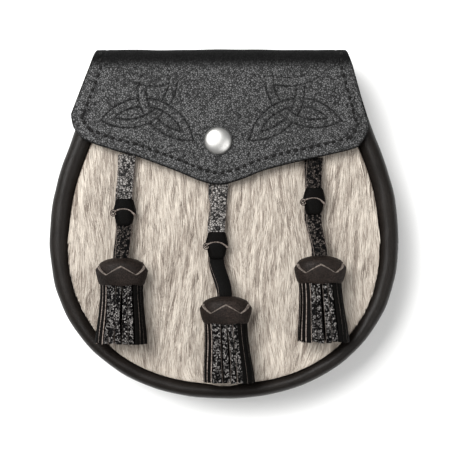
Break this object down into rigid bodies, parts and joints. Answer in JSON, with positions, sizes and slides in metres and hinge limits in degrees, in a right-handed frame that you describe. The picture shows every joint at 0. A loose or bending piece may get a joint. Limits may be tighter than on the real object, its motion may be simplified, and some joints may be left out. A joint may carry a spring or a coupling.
{
  "type": "sporran pouch",
  "caption": "Leather belt pouch with a hair-on hide front, a padded rim, a folded flap on a press stud, hanging tassels and back loops for a strap.",
  "frame": {"origin": "middle of the outline seen from the front, at the level that the pouch rests on when it lies on its back", "axes": "+X to the right in the front view, +Y towards the top fold, +Z out of the front"},
  "size_m": [0.19, 0.1896, 0.056],
  "materials": {
    "back_leather": "plain smooth leather, matt",
    "gusset_leather": "plain smooth leather, semi-matt",
    "rim_leather": "smooth leather, low gloss",
    "hide": "hair-on hide, pale with taupe streaks",
    "grained_leather": "pebble-grained leather, pressed interlace lines",
    "nickel": "satin",
    "loop_leather": "plain smooth leather",
    "strap_leather": "pebble-grained leather, semi-gloss",
    "thong_leather": "smooth leather, low gloss",
    "collar_leather": "plaited leather, pale cut edges",
    "fringe_leather": "pebble-grained leather strips, glossy"
  },
  "bodies": {
    "root": {"back_panel": "back_leather", "gusset": "gusset_leather", "rim_roll": "rim_leather", "fur_panel": "hide", "flap": "grained_leather", "snap_cap": "nickel", "snap_stud": "nickel", "belt_loop_left": "loop_leather", "belt_loop_right": "loop_leather", "hanger_left": "strap_leather", "knot_left": "thong_leather", "collar_left": "collar_leather", "fringe_left": "fringe_leather", "hanger_centre": "strap_leather", "knot_centre": "thong_leather", "collar_centre": "collar_leather", "fringe_centre": "fringe_leather", "hanger_right": "strap_leather", "knot_right": "thong_leather", "collar_right": "collar_leather", "fringe_right": "fringe_leather"}
  },
  "joints": []
}
